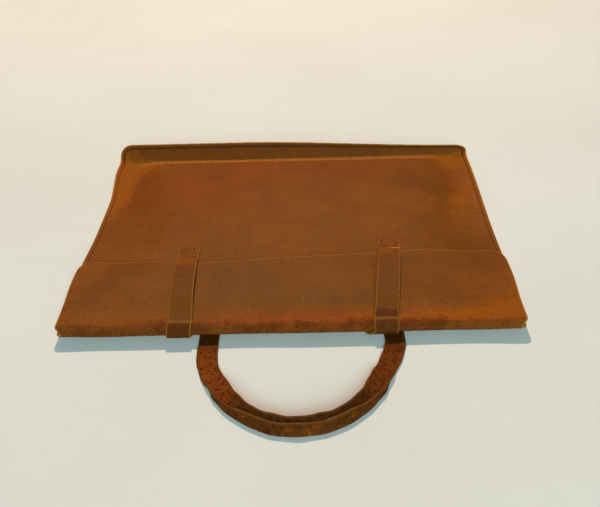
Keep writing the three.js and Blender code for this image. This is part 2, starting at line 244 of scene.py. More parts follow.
def leatherMaterial(name, look):
    bench = Bench(name)
    place = bench.mark("place", "Vector")
    blotch = bench.noise(place, look["blotchScale"], 6.0, 0.62, 0.6)
    cloud = bench.noise(place, look["blotchScale"] * 4.2, 5.0, 0.65, 0.3)
    speck = bench.noise(place, look["grainScale"] * 0.45, 5.0, 0.7)
    grain = bench.noise(place, look["grainScale"], 3.0, 0.6)
    pores = bench.put("TexVoronoi", {"feature": "DISTANCE_TO_EDGE"}, Vector=place,
                      Scale=look["grainScale"] * 0.8).outputs["Distance"]

    # body colour: the painted tone, mottled at three scales
    colour = bench.mark("tone", "Color")
    dim = look["mottle"]
    shade = bench.math("MULTIPLY", bench.ramp(blotch, 0.3, 0.7, 1 - dim, 1 + dim, "LINEAR"),
                       bench.ramp(cloud, 0.3, 0.7, 1 - dim * 0.7, 1 + dim * 0.7, "LINEAR"))
    fine = bench.ramp(speck, 0.3, 0.7, 1 - dim * 1.5, 1 + dim * 1.5, "LINEAR")
    shade = bench.math("MULTIPLY", shade, fine)
    colour = bench.mix(1.0, colour, bench.grey(shade), "MULTIPLY")

    # rubbed places and painted light, broken up by the mottling, then grime and painted shade in the low
    # spots
    rubbedAndLit = bench.math("MULTIPLY_ADD", bench.mark("wearAndLight"), 1.5, bench.math("SUBTRACT", cloud, 1.02))
    rubbedAndLit = bench.math("MULTIPLY_ADD", bench.math("SUBTRACT", speck, 0.5), 1.7, rubbedAndLit)
    rubbedAndLit = bench.ramp(rubbedAndLit, -0.15, 0.75)
    colour = bench.mix(bench.math("MULTIPLY", rubbedAndLit, look["wearAndLightAmount"]), colour, look["wornAndLitTone"])
    grimeAndShade = bench.math("MULTIPLY_ADD", bench.mark("grimeAndShade"), 1.3, bench.math("SUBTRACT", blotch, 1.0))
    grimeAndShade = bench.math("MULTIPLY_ADD", bench.math("SUBTRACT", cloud, 0.5), 2.0, grimeAndShade)
    grimeAndShade = bench.math("MULTIPLY_ADD", bench.math("SUBTRACT", speck, 0.5), 2.4, grimeAndShade)
    grimeAndShade = bench.ramp(grimeAndShade, -0.1, 0.5)
    colour = bench.mix(bench.math("MULTIPLY", grimeAndShade, look["grimeAndShadeAmount"]), colour, look["grimeAndShadeTone"])
    scuffAndHighlight = bench.math("MULTIPLY", bench.mark("scuffAndHighlight"), bench.ramp(speck, 0.42, 0.62))
    colour = bench.mix(bench.math("MULTIPLY", scuffAndHighlight, 0.75), colour, look["scuffAndHighlightTone"])

    # a few fine scratches
    stretched = bench.put("Mapping", Vector=place, Scale=(90.0, 900.0, 900.0), Rotation=(0.0, 0.0, 0.2))
    scratch = bench.ramp(bench.noise(stretched.outputs[0], 1.0, 1.0), 0.735, 0.76)
    colour = bench.mix(bench.math("MULTIPLY", scratch, 0.4), colour, look["scuffAndHighlightTone"])

    # cut edges show the paler inside of the leather, and the underside its flesh side
    cut = bench.math("MULTIPLY", bench.mark("cutEdge"), bench.ramp(cloud, 0.32, 0.55, 0.4, 1.0))
    colour = bench.mix(cut, colour, look["cutTone"])
    deepFlesh = [v * 0.72 for v in look["fleshTone"]]
    flesh = bench.mix(bench.ramp(cloud, 0.35, 0.65), look["fleshTone"], deepFlesh)
    showing = bench.math("MULTIPLY", bench.mark("fleshSide"), look["fleshAmount"])
    colour = bench.mix(showing, colour, flesh)
    bench.set(bench.shader.inputs["Base Color"], colour)

    roughest = look["roughness"] + 0.08
    rough = bench.ramp(cloud, 0.3, 0.7, look["roughness"] - 0.07, roughest, "LINEAR")
    rough = bench.math("MULTIPLY_ADD", rubbedAndLit, 0.1, rough, clamp=True)
    bench.set(bench.shader.inputs["Roughness"], rough)
    bench.shader.inputs["Specular IOR Level"].default_value = look["gloss"]

    # grain, fine wrinkles where the leather is creased, and slow unevenness
    creases = bench.put("TexNoise", {"noise_type": "RIDGED_MULTIFRACTAL"}, Vector=place,
                        Scale=look["wrinkleScale"], Detail=5.0).outputs["Fac"]
    fineGrain = bench.math("MULTIPLY", grain, 0.9)
    height = bench.math("MULTIPLY_ADD", bench.ramp(pores, 0.0, 0.22), 0.5, fineGrain)
    height = bench.math("MULTIPLY", height, look["grainHeight"])
    folds = bench.math("MULTIPLY", creases, look["wrinkleHeight"])
    folds = bench.math("MULTIPLY", bench.mark("wrinkle"), folds)
    height = bench.math("SUBTRACT", height, folds)
    height = bench.math("MULTIPLY_ADD", cloud, look["lumpHeight"], height)
    bump = bench.put("Bump", Strength=look["bump"], Distance=0.0006, Height=height)
    bench.set(bench.shader.inputs["Normal"], bump.outputs[0])
    return bench.material


caseLook = {
    "blotchScale": 16.0, "grainScale": 900.0, "wrinkleScale": 170.0, "mottle": 0.14,
    "wornAndLitTone": leatherTone(154, 83, 22), "wearAndLightAmount": 0.8,
    "grimeAndShadeTone": leatherTone(82, 40, 16), "grimeAndShadeAmount": 0.72,
    "scuffAndHighlightTone": leatherTone(190, 140, 84),
    "cutTone": leatherTone(186, 132, 66), "fleshTone": leatherTone(128, 84, 48), "fleshAmount": 1.0,
    "roughness": 0.56, "gloss": 0.045, "bump": 0.5,
    "grainHeight": 0.22, "wrinkleHeight": 0.9, "lumpHeight": 0.35,
}
strapLook = dict(caseLook, blotchScale=34.0, mottle=0.09, wornAndLitTone=leatherTone(146, 78, 28),
                 cutTone=leatherTone(150, 100, 48), roughness=0.52, grainHeight=0.3)
handleLook = dict(caseLook, blotchScale=105.0, grainScale=620.0, mottle=0.2,
                  wornAndLitTone=leatherTone(150, 78, 26),
                  grimeAndShadeTone=leatherTone(44, 24, 12), grimeAndShadeAmount=0.8, cutTone=leatherTone(112, 68, 32),
                  wrinkleScale=260.0, roughness=0.66, gloss=0.05, bump=0.9, grainHeight=0.6, lumpHeight=0.9)

caseMaterial = leatherMaterial("worn_case_leather", caseLook)
strapMaterial = leatherMaterial("strap_leather", strapLook)
handleMaterial = leatherMaterial("cracked_handle_leather", handleLook)


def threadMaterial():
    look = {"tone": leatherTone(66, 36, 16), "pale": leatherTone(108, 66, 32), "twist": 1100.0}
    bench = Bench("waxed_thread")
    place = bench.mark("place", "Vector")
    twist = bench.noise(place, look["twist"], 2.0)
    colour = bench.mix(bench.ramp(twist, 0.4, 0.7), look["tone"], look["pale"])
    bench.set(bench.shader.inputs["Base Color"], colour)
    bench.shader.inputs["Roughness"].default_value = 0.7
    bench.shader.inputs["Specular IOR Level"].default_value = 0.2
    bump = bench.put("Bump", Strength=0.5, Distance=0.0002, Height=twist)
    bench.set(bench.shader.inputs["Normal"], bump.outputs[0])
    return bench.material


thread = threadMaterial()
print("materials made")

case = {
    "halfWidth": nodeBox("back_panel")[1][0],
    "nearLift": nodeBox("flap_fold")[0][2],
    "foldTop": nodeBox("flap_fold")[1][2],
    "backLeather": 2.6, "frontLeather": 2.2, "flapLeather": 2.6,
    "creaseY": 276.5, "rimRadius": 24.0, "rimAngle": math.radians(58), "rimFlat": 15.0,
    "rimLeft": 26.5, "rimRight": 19.5,
    "corner": 12.0, "margin": 9.0, "bulgeRun": 72.0, "liftFlat": 34.0, "liftEnd": 104.0,
    "seamGap": 0.15, "flapGap": 0.25, "overSeam": 0.55,
    "nearDroop": 4.2, "nearDraw": 4.6, "cornerLift": 2.2, "leftCurl": 9.5, "rightCurl": 8.5, "waist": 2.2,
    "stitchInset": 3.5, "grooveDepth": 0.4,
}
frontLevel = case["foldTop"] - case["flapLeather"] - 0.4 - case["frontLeather"]
foldY = (case["foldTop"] - case["nearLift"]) / 2
creaseS = case["creaseY"] - foldY
rimRun = case["rimRadius"] * case["rimAngle"]
endS = creaseS + rimRun + case["rimFlat"]
layerStep = (case["backLeather"] + case["frontLeather"]) / 2 + case["seamGap"]


def profile(x, s):
    # the back leather's middle along the case: y, z, and the way up from it
    base, turn, angleMax = case["backLeather"] / 2, case["rimRadius"], case["rimAngle"]
    rimTop = case["rimLeft"] + (case["rimRight"] - case["rimLeft"]) * smooth(-60, 200, x)
    angle = np.clip((s - creaseS) / turn, 0, angleMax)
    straight = (rimTop - base - turn * (1 - math.cos(angleMax))) / math.sin(angleMax)
    straight = np.clip(s - creaseS - rimRun, 0, None) * straight / case["rimFlat"]
    y = foldY + np.minimum(s, creaseS) + turn * np.sin(angle) + straight * np.cos(angle)
    lift = case["nearLift"] * (1 - smooth(case["liftFlat"], case["liftEnd"], s))
    z = base + lift + turn * (1 - np.cos(angle)) + straight * np.sin(angle)
    return y, z, -np.sin(angle), np.cos(angle)


def surface(x, s, d):
    y, z, ny, nz = profile(x, s)
    edge = np.clip((np.abs(x) - case["halfWidth"] + 32) / 32, 0, 1) ** 2
    left = case["leftCurl"] * smooth(212, creaseS, s)
    right = case["rightCurl"] * smooth(120, creaseS, s)
    curl = np.where(x < 0, left, right) * edge * smooth(endS, creaseS - 4, s)
    waist = case["waist"] * smooth(90, 150, s) * smooth(262, 195, s) * smooth(0, -200, x)
    drawn = (waist + case["nearDraw"] * smooth(80, 0, s)) / 200
    return np.stack([x * (1 - drawn), y + d * ny, z + d * nz + curl], -1)


def fullness(x, s):
    run = case["bulgeRun"] * (1 - 0.4 * smooth(150, 270, s))
    across = smooth(case["margin"], case["margin"] + run, case["halfWidth"] - np.abs(x))
    return across * smooth(creaseS + 35, creaseS + 4, s)


def frontStep(x, s):
    full = frontLevel + case["frontLeather"] / 2 - profile(x, s)[1]
    wave = 0.4 * np.sin(x / 47 + 1.3) * np.sin(s / 31 + 0.4) + 0.25 * np.sin(x / 23 + s / 37)
    droop = case["nearDroop"] * smooth(36, 0, s)
    corner = case["cornerLift"] * smooth(40, 0, s) * smooth(50, 5, case["halfWidth"] - np.abs(x))
    return layerStep + (full + wave - droop - layerStep) * fullness(x, s) + corner


def flapStep(x, s):
    over = case["overSeam"] * smooth(30, 12, case["halfWidth"] - np.abs(x))
    return frontStep(x, s) + (case["frontLeather"] + case["flapLeather"]) / 2 + case["flapGap"] + over


def frontTop(x, y):
    s = y - foldY
    return profile(x, s)[1] + frontStep(x, s) + case["frontLeather"] / 2


def flapTopAt(x, y):
    s = y - foldY
    return profile(x, s)[1] + flapStep(x, s) + case["flapLeather"] / 2


edgeInsets = [0, 0.5, 1.1, 1.8, 2.5, 3.0, 3.5, 4.0, 4.6, 5.4, 6.6, 8.5, 11, 14, 18, 22, 27, 33, 39, 45]
inner = case["halfWidth"] - edgeInsets[-1]
columnsX = np.concatenate([
    np.array(edgeInsets) - case["halfWidth"],
    np.linspace(-inner, inner, 63)[1:-1],
    case["halfWidth"] - np.array(edgeInsets[::-1]),
])


def squeezed(x, s, end, radius):
    # columns drawn in towards a rounded corner
    into = np.clip((s - (end - radius)) / radius, 0, 1)
    half = case["halfWidth"] - radius * (1 - np.sqrt(np.maximum(0, 1 - into * into)))
    scaled = inner + (np.abs(x) - inner) * (half - inner) / edgeInsets[-1]
    return np.where(np.abs(x) <= inner, x, np.sign(x) * scaled)


def edgeDistance(x, s, end, radius):
    # how far a place is from the cut edge on the three sewn sides
    qx, qs = np.abs(x) - (case["halfWidth"] - radius), s - (end - radius)
    straight = np.minimum(case["halfWidth"] - np.abs(x), end - s)
    return np.where((qx > 0) & (qs > 0), radius - np.hypot(qx, qs), straight)


def spot(x, y, atX, atY, rx, ry):
    return np.exp(-((x - atX) / rx) ** 2 - ((y - atY) / ry) ** 2)


def caseTones(x, y, s):
    # painted tone, wear, grime, scuffs and wrinkles over the front and flap, with painted shade high on the
    # rim, painted light at its foot and a painted highlight along the fold's crest
    tone = np.zeros(np.shape(x) + (3,)) + leatherTone(128, 73, 31)
    tone = tone * (1 - 0.1 * smooth(96, 84, y) * smooth(20, 30, y))[..., None]
    for atX, atY, rx, ry, amount, rgb in (
        (-110, 225, 90, 60, 0.75, (131, 65, 20)), (10, 262, 150, 26, 0.7, (131, 66, 20)),
        (120, 235, 70, 40, 0.4, (118, 66, 26)), (0, 130, 120, 60, 0.5, (131, 78, 34)),
        (-150, 60, 50, 60, 0.6, (130, 78, 43)), (-60, 55, 60, 40, 0.75, (116, 72, 38)),
        (30, 45, 60, 30, 0.6, (120, 75, 37)), (150, 60, 50, 40, 0.5, (120, 72, 38)),
        (150, 120, 50, 30, 0.6, (114, 66, 32)), (178, 55, 30, 26, 0.7, (134, 76, 32)),
        (40, 6, 110, 13, 0.9, (150, 68, 20)), (-150, 4, 60, 12, 0.8, (136, 76, 30)),
    ):
        weight = (amount * spot(x, y, atX, atY, rx, ry))[..., None]
        tone = tone * (1 - weight) + np.array(leatherTone(*rgb)) * weight
    crease = smooth(creaseS - 12, creaseS - 2, s)
    # painted shade: the tone darkens up the rim's upper face, most in blue
    rimShade = smooth(creaseS + 20, creaseS + 32, s)[..., None]
    tone = tone * (1 - rimShade * np.array([0.1, 0.22, 0.35]))
    # the spot along the rim's foot at creaseS + 16 is painted light, partly scuffing; the other spots are
    # wear
    wearAndLight = (0.75 * spot(x, y, -186, 262, 16, 48) + 0.8 * spot(x, y, -170, 276, 30, 12)
            + 0.6 * spot(x, y, -190, 215, 14, 30) + 0.6 * spot(x, y, 176, 276, 24, 14)
            + 0.55 * spot(x, y, 184, 225, 16, 46) + 0.45 * spot(x, y, 170, 190, 18, 20)
            + 0.8 * spot(s, s, creaseS + 16, creaseS + 16, 9, 9))
    wearAndLight += 0.6 * spot(x, y, 180, 24, 30, 16) + 0.5 * spot(x, y, 150, 12, 60, 9)
    wearAndLight += (0.3 * smooth(-60, -30, x) + 0.2) * smooth(26, 8, y) * smooth(-4, 6, y)
    wearAndLight += 0.35 * smooth(14, 4, case["halfWidth"] - np.abs(x))
    grimeAndShade = 0.62 * smooth(18, 3, y) * (1 - 0.4 * smooth(110, 165, x)) + 0.15 * crease
    # a lighter band along the rim's foot: partly scuffing, partly painted light
    scuffAndHighlight = 0.75 * spot(s, s, creaseS + 16, creaseS + 16, 6, 6) * smooth(185, 150, np.abs(x + 10))
    # painted highlight: a light line along the fold's crest
    scuffAndHighlight += 0.6 * spot(y, y, 2.2, 2.2, 1.4, 1.4)
    wrinkle = 0.15 + crease * 0.85 + 0.4 * smooth(16, 4, y)
    return {"tone": tone, "wearAndLight": wearAndLight, "grimeAndShade": grimeAndShade, "scuffAndHighlight": scuffAndHighlight, "wrinkle": wrinkle}


def panelGrid(rowsS, step, end=None):
    s, x = np.meshgrid(rowsS, columnsX, indexing="ij")
    x = squeezed(x, s, endS, case["corner"])
    middle = surface(x, s, step(x, s))
    return x, s, middle


farInsets = [v for v in edgeInsets if v < 12]
farRows = [endS - v for v in farInsets[::-1]]
rimRows = list(np.arange(creaseS - 60, farRows[0] - 1, 2.2))
nearRows = list(np.arange(0, creaseS - 62, 5.0))

# back panel
x, s, middle = panelGrid(nearRows + rimRows + farRows, lambda x, s: np.zeros_like(x))
marks = caseTones(x, middle[..., 1], s)
marks["place"] = np.stack([x, s, x * 0 - 30], -1) * mm
marks["tone"] = marks["tone"] * 0.92
marks["wearAndLight"] = 0.3 * smooth(12, 2, case["halfWidth"] - np.abs(x)) + 0.2
backLeather = closedSheet("back_leather", middle, case["backLeather"], marks, caseMaterial,
                          flesh=(1, 0))
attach(backLeather, "case")
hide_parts("back_panel")
print("back leather made")

# front panel, with a shallow groove where the stitches are drawn in
x, s, middle = panelGrid([6.0, 9.0] + [v for v in nearRows if v > 10] + rimRows + farRows, frontStep)
inset = edgeDistance(x, s, endS, case["corner"])
groove = case["grooveDepth"] * np.exp(-((inset - case["stitchInset"]) / 0.9) ** 2) * smooth(8, 30, s)
marks = caseTones(x, middle[..., 1], s)
# darker along the stitch groove, more so up the rim: partly dirt, partly painted shade in the groove and on
# the rim's shaded face
grooveShade = np.exp(-((inset - case["stitchInset"]) / 1.2) ** 2)
marks["grimeAndShade"] += (0.3 + 0.5 * smooth(creaseS, creaseS + 20, s)) * grooveShade
marks["place"] = np.stack([x, s, x * 0], -1) * mm
frontLeather = closedSheet("front_leather", middle, case["frontLeather"], marks, caseMaterial,
                           drop=groove)
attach(frontLeather, "case")
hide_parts("front_panel")
print("front leather made")

# edge stitching
seam = {"pitch": 4.1, "start": 12.0, "sink": 0.22}


def seamPath():
    inset, radius = case["stitchInset"], case["corner"]
    half, turn = case["halfWidth"] - inset, radius - inset
    side = np.arange(seam["start"], endS - radius, 2.0)
    bends = [(turn * (1 - math.cos(a)), endS - radius + turn * math.sin(a))
             for a in np.linspace(0, math.pi / 2, 7)]
    run = [(-half, v) for v in side]
    run += [(-half + inward, v) for inward, v in bends]
    run += [(v, endS - inset) for v in np.arange(-half + turn + 2, half - turn - 1, 2.0)]
    run += [(half - inward, v) for inward, v in bends[::-1]]
    run += [(half, v) for v in side[::-1]]
    return np.array(run).T


x, s = seamPath()
lift = frontStep(x, s) + case["frontLeather"] / 2 - case["grooveDepth"] + seam["sink"]
y, z, ny, nz = profile(x, s)
ups = np.stack([x * 0, ny, nz], -1)
stitches = stitchRun("edge_stitches", surface(x, s, lift), ups, seam["pitch"], thread)
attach(stitches, "case")
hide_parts("seam_thread")
print("edge stitching made")

# fold and flap, one sheet of leather
flap = {
    "corner": 15.0, "depth": 96.0, "foldSteps": 16, "foldPitch": 7.0, "nose": 4.6, "noseRun": 26.0,
    "edgeX": [-200, -181, -155, -128, -100, -76, -28, 45, 101, 146, 175, 200],
    "edgeY": [106, 102.5, 93.5, 88.7, 86, 86, 89.4, 94.5, 97.6, 101.3, 107, 112],
}


def flapEdge(x):
    return sum(np.interp(x + k, flap["edgeX"], flap["edgeY"]) for k in (-14, -7, 0, 7, 14)) / 5


def flapGrid():
    depth = flap["depth"]
    insets = np.array([v for v in edgeInsets if v < 12][::-1])
    k = np.concatenate([np.linspace(0, 1 - insets[0] / depth, 26)[:-1], 1 - insets / depth])
    k, x = np.meshgrid(k, columnsX, indexing="ij")
    x = squeezed(x, k * depth, depth, flap["corner"])
    s = k * (flapEdge(x) - foldY)
    top = surface(x, s, flapStep(x, s))
    turns = np.linspace(1.5 * math.pi, 0.5 * math.pi, flap["foldSteps"] + 1)[:-1]
    angle, foldX = np.meshgrid(turns, columnsX, indexing="ij")
    low = case["nearLift"] + case["flapLeather"] / 2
    high = surface(foldX, foldX * 0, flapStep(foldX, foldX * 0))[..., 2]
    reach = foldY - case["flapLeather"] / 2
    bow = 0.25 * np.sin(foldX / 31) + 0.2 * np.sin(foldX / 13 + 1)
    nearEnd = smooth(flap["noseRun"], 0, case["halfWidth"] - np.abs(foldX))
    nose = flap["nose"] * np.cos(angle) ** 2 * nearEnd
    foldX = foldX * (1 - case["nearDraw"] / 200) - np.sign(foldX) * nose
    around = np.stack([foldX, foldY + (reach + bow) * np.cos(angle),
                       (low + high) / 2 + (high - low) / 2 * np.sin(angle)], -1)
    run = np.concatenate([(0.5 * math.pi - angle) * flap["foldPitch"], s])
    return np.concatenate([foldX, x]), run, np.concatenate([around, top])


x, s, middle = flapGrid()
marks = caseTones(x, np.where(s < 0, s, middle[..., 1]), np.maximum(s, 0))
marks["place"] = np.stack([x, s, x * 0 + 20], -1) * mm
flapLeather = closedSheet("flap_leather", middle, case["flapLeather"], marks, caseMaterial)
hinge = toFrame([[0, foldY, 7.25], [0, foldY + 0.21, 10.7]])
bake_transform(flapLeather)
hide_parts("flap_fold", "flap")
print("fold and flap made")

strap = {
    "width": 19.0, "leather": 2.0, "patchDepth": 17.5, "clear": 0.25, "tailUnder": 22.0,
    "sewnIn": 2.9, "pressed": 0.35, "pitch": 3.2, "tailTurns": 19, "tailRows": 9,
    "left": {"tip": -96.5, "root": -91.8, "patch": -96.5, "crease": 5.0, "bow": 4.2, "flare": 0.0,
             "lean": -1.5},
    "right": {"tip": 92.5, "root": 80.0, "patch": 92.5, "crease": 17.0, "bow": 3.2, "flare": 6.5,
              "lean": -1.0},
}
acrossInsets = np.array([0, 0.5, 1.2, 2.2, 3.6, 5.6, 7.6])
acrossU = np.concatenate([acrossInsets - strap["width"] / 2, [0], strap["width"] / 2 - acrossInsets[::-1]])


def strapTones(u, run, place, rgb):
    tone = np.zeros(np.shape(u) + (3,)) + leatherTone(*rgb)
    side = smooth(3.0, 0.4, strap["width"] / 2 - np.abs(u))
    return {"tone": tone, "wearAndLight": 0.25 + 0.15 * side, "grimeAndShade": 0.25 + 0 * u, "scuffAndHighlight": 0 * u,
            "wrinkle": 0.2 + 0 * u, "place": place * mm}


for side in ("left", "right"):
    spec = strap[side]
    halfStrap, leather = strap["width"] / 2, strap["leather"]
    patchY = nodeBox(f"patch_{side}")[0][1] - nearLine + 0.9

    # patch, sewn down just beyond the flap's edge
    depth = strap["patchDepth"]
    v = np.concatenate([[0, 0.5, 1.2], np.linspace(2.4, depth - 2.4, 8), depth - np.array([1.2, 0.5, 0])])
    vv, uu = np.meshgrid(v, acrossU, indexing="ij")
    corner = 1.3 * np.clip((vv - depth + 2) / 2, 0, 1) ** 2
    px = spec["patch"] + uu * (1 - corner / halfStrap)
    py = patchY + vv
    fromEdge = np.minimum(halfStrap - np.abs(uu), np.minimum(vv + 1.0, depth - vv))
    groove = 0.25 * np.exp(-((fromEdge - strap["sewnIn"]) / 0.6) ** 2)
    pz = frontTop(px, py) + leather / 2 - strap["pressed"]
    marks = strapTones(uu, vv, np.stack([px, py + 500, pz * 0], -1), (128, 73, 34))
    # darker along the patch's stitch groove: partly dirt, partly painted shade in the groove
    marks["grimeAndShade"] = marks["grimeAndShade"] + 0.45 * np.exp(-((fromEdge - strap["sewnIn"]) / 0.7) ** 2)
    patch = closedSheet(f"patch_leather_{side}", np.stack([px, py, pz], -1), leather, marks,
                        strapMaterial, drop=groove)
    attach(patch, "case")
    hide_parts(f"patch_{side}")
    w, h = halfStrap - strap["sewnIn"], depth - strap["sewnIn"]
    corners = np.array([[-w, 1.9], [w, 1.9], [w, h], [-w, h], [-w, 1.9]])
    path = np.concatenate([np.linspace(a, b, 9)[:-1] for a, b in zip(corners, corners[1:])])
    ring = np.stack([spec["patch"] + path[:, 0], patchY + path[:, 1], path[:, 0] * 0], -1)
    ring[:, 2] = frontTop(ring[:, 0], ring[:, 1]) + leather - strap["pressed"] - 0.12
    small = dict(stitchShape, long=1.9, wide=0.6, high=0.4)
    sewn = stitchRun(f"patch_stitches_{side}", ring, ring * 0 + [0, 0, 1], strap["pitch"], thread,
                     closed=True, look=small)
    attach(sewn, "case")
    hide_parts(f"patch_thread_{side}")

    # band over the flap, bowed up from it and stepping down to the patch at its tip
    tipY = patchY - 0.2
    run = tipY - foldY
    k = np.concatenate([np.linspace(0, 0.84, 30)[:-1], np.linspace(0.84, 1, 16)])
    kk, uu = np.meshgrid(k, acrossU, indexing="ij")
    bx = spec["root"] + (spec["tip"] - spec["root"]) * kk + uu
    by = foldY + run * kk
    edge = flapEdge(bx)
    onFlap = flapTopAt(bx, by) + strap["clear"] + leather / 2
    onFront = frontTop(bx, by) + leather / 2
    bow = spec["bow"] * np.sin(math.pi * np.clip(kk / 0.93, 0, 1)) ** 1.3
    step = smooth(0.5, 7.5, by - edge)
    bz = (onFlap + bow) * (1 - step) + onFront * step
    bz = bz + 0.5 * (uu / halfStrap) * np.sin(math.pi * kk) * (1 if side == "left" else -0.6)
    marks = strapTones(uu, by, np.stack([bx, by, bz * 0 + 40], -1), (116, 68, 32))
    # painted light: the band's end, sloping down over the flap's edge to the patch, is made paler through
    # the wear mark
    ramp = smooth(-13, -1, by - edge)
    marks["wearAndLight"] = marks["wearAndLight"] + 0.55 * ramp
    rootDark = smooth(spec["crease"] + 4, spec["crease"] - 3, by)
    marks["grimeAndShade"] = marks["grimeAndShade"] + 0.7 * rootDark
    marks["scuffAndHighlight"] = 0.9 * np.exp(-((by - spec["crease"]) / 0.9) ** 2)
    # painted highlight along the foot of the step over the flap's edge
    marks["scuffAndHighlight"] = marks["scuffAndHighlight"] + 0.5 * np.exp(-((by - edge - 2) / 1.2) ** 2)
    marks["wrinkle"] = marks["wrinkle"] + rootDark
    # a yellow rub on the end of the right band
    rub = (smooth(4.2, 3.2, tipY - by) * smooth(0.5, 1.5, uu) * (side == "right"))[..., None]
    marks["tone"] = marks["tone"] * (1 - rub) + np.array(leatherTone(205, 150, 10)) * rub
    marks["wearAndLight"] = marks["wearAndLight"] * (1 - rub[..., 0])
    marks["grimeAndShade"] = marks["grimeAndShade"] * (1 - rub[..., 0])
    band = closedSheet(f"strap_band_{side}", np.stack([bx, by, bz], -1), leather, marks, strapMaterial)
    root = toFrame([[0, foldY + 0.5, 15], [0, foldY + 9, 15]])
    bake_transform(band)
    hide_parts(f"strap_{side}")

    # tail, from the band's root round the near edge to its sewn end under the back
    topZ = flapTopAt(spec["root"], foldY) + strap["clear"] + leather / 2
    lowZ = case["nearLift"] - strap["clear"] - leather / 2
    middleZ, rise = (topZ + lowZ) / 2, (topZ - lowZ) / 2
    reach = foldY + strap["clear"] + leather / 2
    turns = np.linspace(0.5 * math.pi, 1.5 * math.pi, strap["tailTurns"])
    under = foldY + np.linspace(2, strap["tailUnder"], strap["tailRows"])
    pathY = np.concatenate([foldY + reach * np.cos(turns) * 1.02, under])
    pathZ = np.concatenate([middleZ + rise * np.sin(turns), np.full(strap["tailRows"], lowZ)])
    lean = np.concatenate([np.linspace(0, 1, strap["tailTurns"]), np.ones(strap["tailRows"])])
    lean = lean * spec["lean"]
    yy, uu = np.meshgrid(pathY, acrossU, indexing="ij")
    zz = np.broadcast_to(pathZ[:, None], yy.shape)
    flare = spec["flare"] * smooth(0.3, 0.62, np.linspace(0, 1, len(pathY)))[:, None]
    tx = spec["root"] + uu + lean[:, None] - flare * (0.5 - uu / strap["width"])
    runs = np.broadcast_to(np.arange(len(pathY))[:, None] * 1.5, yy.shape)
    marks = strapTones(uu, runs, np.stack([tx, -runs, uu * 0 + 40], -1), (96, 56, 28))
    marks["grimeAndShade"] = marks["grimeAndShade"] + 0.5
    marks["wearAndLight"] = marks["wearAndLight"] + 0.25
    marks["wrinkle"] = marks["wrinkle"] + 0.9
    grid = np.stack([tx, yy, zz], -1)[::-1]
    marks = {key: value[::-1] for key, value in marks.items()}
    tail = closedSheet(f"strap_tail_leather_{side}", grid, leather, marks, strapMaterial)
    bend = toFrame([[0, foldY, 4.45], [0, foldY, topZ - leather / 2]])
    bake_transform(tail)
    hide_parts(f"strap_tail_{side}")
print("straps made")

handle = {
    "line": [(-68, -8), (-68, -20), (-66, -31), (-62.5, -40), (-57, -50.5), (-46.5, -68), (-34.5, -81),
             (-20.5, -89.8), (-6, -94.8), (10, -95.2), (28, -92), (43, -84.4), (57, -71.5), (68.5, -52.5),
             (77, -34), (83.5, -20), (86.5, -8)],
    "axisY": -9.0, "legs": {"left": -68.0, "right": 86.75},
    "legWidth": 15.2, "bowWidth": 10.5, "tilt": math.radians(42), "leather": 2.4,
    "wrapLeather": 2.2, "wrapGap": 0.3, "wrapHeight": 8.8, "wrapFoot": 5.0, "lean": 5.0,
    "stations": 150, "tabLength": 46.0, "tabLeather": 2.0, "bendRadius": 1.6, "lowLeaf": 3.4,
    "spots": ((0.27, 6), (0.335, 9), (0.47, 5), (0.525, 4), (0.55, 9), (0.66, 6), (0.73, 10)),
}


def handlePath():
    # centre line from one leg's root round the bow to the other, with its outward side
    line = np.array(handle["line"], float)
    for steps, rounds in ((handle["stations"], 26), (handle["stations"], 0)):
        run = np.concatenate([[0], np.cumsum(np.linalg.norm(np.diff(line, axis=0), axis=1))])
        even = np.linspace(0, run[-1], steps)
        line = np.stack([np.interp(even, run, line[:, i]) for i in (0, 1)], -1)
        for _ in range(rounds):
            line[1:-1] = (line[:-2] + 2 * line[1:-1] + line[2:]) / 4
    along = unit(np.gradient(line, axis=0))
    out = np.stack([along[:, 1], -along[:, 0]], -1)
    share = even / even[-1]
    turn = smooth(0.13, 0.36, share) * smooth(0.9, 0.66, share)
    leaf = smooth(0.15, 0.4, share) * smooth(0.87, 0.62, share)
    return line, out, turn, leaf, even


line, out, turn, leaf, even = handlePath()
turn, leaf = turn[:, None], leaf[:, None]


def placed(outward, up):
    # points given as distance outward from the centre line and height
    flat = line[:, None, :] + out[:, None, :] * outward[..., None]
    return np.concatenate([flat, up[..., None]], -1)


u = np.concatenate([acrossInsets, [8]]) - 8
u = np.concatenate([u[:-1], [0], -u[:-1][::-1]]) / 8
wobble = 0.35 * np.sin(even / 5.3) + 0.3 * np.sin(even / 2.9 + 2)
width = handle["legWidth"] + (handle["bowWidth"] - handle["legWidth"]) * turn[:, 0] + wobble
across = u[None, :] * width[:, None] / 2
tilt = handle["tilt"] * turn
halfLeather = handle["leather"] / 2
lift = np.maximum(halfLeather, width[:, None] / 2 * np.sin(tilt) + halfLeather * np.cos(tilt))
lift = lift + (handle["wrapLeather"] + handle["wrapGap"]) * smooth(0.0, 0.12, turn)
cup = 0.5 * (1 - u[None, :] ** 2) * turn
grid = placed(across * np.cos(tilt) - cup * np.sin(tilt),
              lift - across * np.sin(tilt) - cup * np.cos(tilt))
place = np.stack([np.broadcast_to(even[:, None], across.shape), across, across * 0 + 60], -1) * mm
